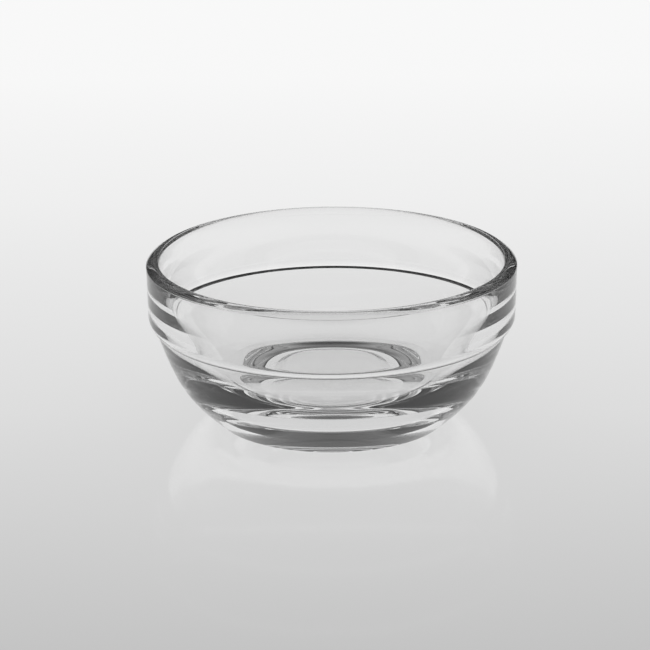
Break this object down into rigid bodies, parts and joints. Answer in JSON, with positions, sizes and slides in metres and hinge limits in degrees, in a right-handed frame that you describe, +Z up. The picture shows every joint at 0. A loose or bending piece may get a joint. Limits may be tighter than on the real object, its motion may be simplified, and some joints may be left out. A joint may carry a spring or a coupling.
{
  "type": "prep bowl",
  "caption": "Small clear pressed-glass prep bowl with a rounded rim, an upright band, a small stacking shoulder over a sharp corner, a round body and a thick base that is hollowed inside its bearing ring.",
  "frame": {"origin": "centre of the bearing ring, on the surface that the bowl stands on", "axes": "+Z up along the bowl's axis of revolution; +X and +Y level, with no preferred direction"},
  "size_m": [0.09, 0.09, 0.04],
  "materials": {
    "clear_glass": "clear, fire polished"
  },
  "bodies": {
    "root": {"bowl": "clear_glass"}
  },
  "joints": []
}
